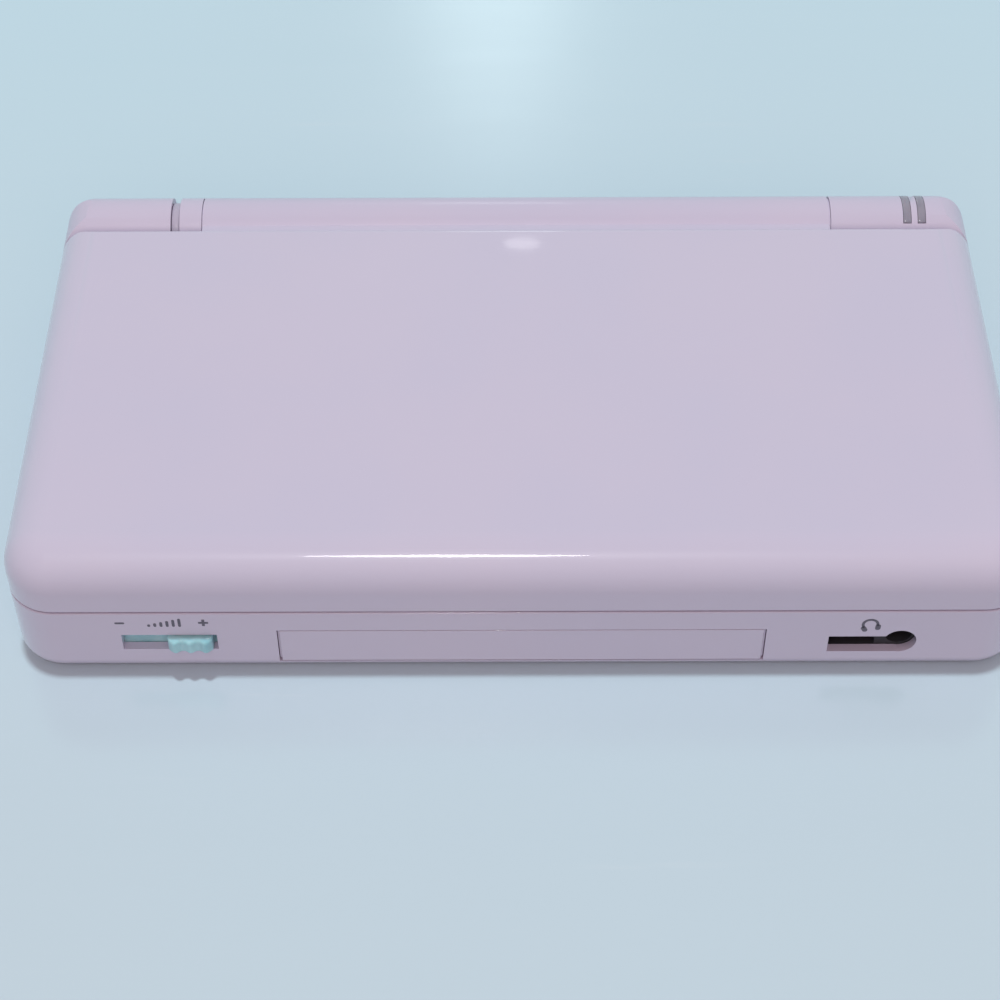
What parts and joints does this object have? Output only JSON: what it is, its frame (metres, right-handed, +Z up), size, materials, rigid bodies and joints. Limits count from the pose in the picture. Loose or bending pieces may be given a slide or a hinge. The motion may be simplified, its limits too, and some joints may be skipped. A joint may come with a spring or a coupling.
{
  "type": "clamshell handheld game console",
  "caption": "Closed clamshell handheld game console with a hinged lid, inner screens, buttons, direction pad, triggers, sliders, stylus and game slots.",
  "frame": {"origin": "on the table under the middle of the closed console", "axes": "+X to the player's right along the hinge, +Y to the rear where the hinge is, +Z up through the lid"},
  "size_m": [0.1338, 0.075, 0.0215],
  "materials": {
    "shell_pink": "glossy clear-coated moulding",
    "face_pink": "fine matte moulding",
    "slider_aqua": "translucent satin moulding",
    "stylus_white": "satin moulding",
    "lamp_grey": "clear windows, unlit",
    "black_plastic": "black moulding",
    "grey_plastic": "grey moulding",
    "battery_grey": "battery case",
    "board_green": "solder resist",
    "ribbon_amber": "polyimide film",
    "steel": "plated steel",
    "rubber_grey": "soft moulded rubber",
    "silicone": "silicone sheet",
    "screen_glass": "dark screen glass",
    "lcd_module": "display module"
  },
  "bodies": {
    "base": {"base_tub": "shell_pink", "battery_cover": "shell_pink", "battery_cover_screw": "steel", "base_screws": "steel", "feet": "rubber_grey", "battery": "battery_grey", "main_board": "board_green", "wifi_board": "board_green", "cartridge_connector": "black_plastic", "card_cage": "steel", "power_socket": "black_plastic", "headphone_jack": "black_plastic", "volume_switch": "grey_plastic", "power_switch": "grey_plastic", "stylus_silo": "face_pink", "pad_membrane": "silicone", "button_membrane": "silicone", "small_membrane": "silicone", "lower_lcd": "lcd_module", "touch_glass": "screen_glass", "face_plate": "face_pink", "led_windows": "lamp_grey", "left_trigger_pin": "steel", "right_trigger_pin": "steel", "left_trigger_spring": "steel", "right_trigger_spring": "steel", "hinge_unit": "steel", "ribbon_bush": "steel"},
    "lid": {"lid_shell": "shell_pink", "lid_frame": "face_pink", "upper_lens": "screen_glass", "upper_lcd": "lcd_module", "left_speaker": "black_plastic", "right_speaker": "black_plastic", "microphone": "steel", "lid_bumpers": "rubber_grey", "lid_screws": "steel", "hinge_shaft": "steel", "hinge_collar": "shell_pink", "screen_ribbon": "ribbon_amber"},
    "pad_rocker": {"pad_pivot": "grey_plastic"},
    "pad": {"direction_pad": "face_pink"},
    "top_button": {"top_button": "face_pink"},
    "bottom_button": {"bottom_button": "face_pink"},
    "left_button": {"left_button": "face_pink"},
    "right_button": {"right_button": "face_pink"},
    "start_button": {"start_button": "face_pink"},
    "select_button": {"select_button": "face_pink"},
    "power_knob": {"power_knob": "face_pink"},
    "volume_knob": {"volume_knob": "slider_aqua"},
    "left_trigger": {"left_trigger": "shell_pink"},
    "right_trigger": {"right_trigger": "shell_pink"},
    "stylus": {"stylus": "stylus_white"},
    "cartridge_cover": {"cartridge_cover": "shell_pink"}
  },
  "joints": [
    {"name": "lid_hinge", "type": "hinge", "parent": "base", "child": "lid", "pos_m": [0, 0.03235, 0.0169], "axis": [-1, 0, 0], "range_deg": [0, 160]},
    {"name": "pad_left_right", "type": "hinge", "parent": "base", "child": "pad_rocker", "pos_m": [-0.0495, -0.001, 0.00955], "axis": [0, 1, 0], "range_deg": [-3, 3], "stiffness_Nm_per_rad": 0.15},
    {"name": "pad_up_down", "type": "hinge", "parent": "pad_rocker", "child": "pad", "pos_m": [-0.0495, -0.001, 0.00955], "axis": [1, 0, 0], "range_deg": [-3, 3], "stiffness_Nm_per_rad": 0.15},
    {"name": "top_press", "type": "slide", "parent": "base", "child": "top_button", "axis": [0, 0, -1], "range_m": [0, 0.0006], "stiffness_N_per_m": 1000},
    {"name": "bottom_press", "type": "slide", "parent": "base", "child": "bottom_button", "axis": [0, 0, -1], "range_m": [0, 0.0006], "stiffness_N_per_m": 1000},
    {"name": "left_press", "type": "slide", "parent": "base", "child": "left_button", "axis": [0, 0, -1], "range_m": [0, 0.0006], "stiffness_N_per_m": 1000},
    {"name": "right_press", "type": "slide", "parent": "base", "child": "right_button", "axis": [0, 0, -1], "range_m": [0, 0.0006], "stiffness_N_per_m": 1000},
    {"name": "start_press", "type": "slide", "parent": "base", "child": "start_button", "axis": [0, 0, -1], "range_m": [0, 0.0006], "stiffness_N_per_m": 1000},
    {"name": "select_press", "type": "slide", "parent": "base", "child": "select_button", "axis": [0, 0, -1], "range_m": [0, 0.0006], "stiffness_N_per_m": 1000},
    {"name": "power_slide", "type": "slide", "parent": "base", "child": "power_knob", "axis": [0, 1, 0], "range_m": [0, 0.0023], "stiffness_N_per_m": 300},
    {"name": "volume_slide", "type": "slide", "parent": "base", "child": "volume_knob", "axis": [-1, 0, 0], "range_m": [0, 0.0056]},
    {"name": "left_trigger_press", "type": "hinge", "parent": "base", "child": "left_trigger", "pos_m": [-0.0524, 0.0332, 0.00715], "axis": [0, 0, 1], "range_deg": [0, 4], "stiffness_Nm_per_rad": 0.3},
    {"name": "right_trigger_press", "type": "hinge", "parent": "base", "child": "right_trigger", "pos_m": [0.0524, 0.0332, 0.00715], "axis": [0, 0, -1], "range_deg": [0, 4], "stiffness_Nm_per_rad": 0.3},
    {"name": "stylus_slide", "type": "slide", "parent": "base", "child": "stylus", "axis": [1, 0, 0], "range_m": [0, 0.088]},
    {"name": "cover_slide", "type": "slide", "parent": "base", "child": "cartridge_cover", "axis": [0, -1, 0], "range_m": [0, 0.03]}
  ]
}
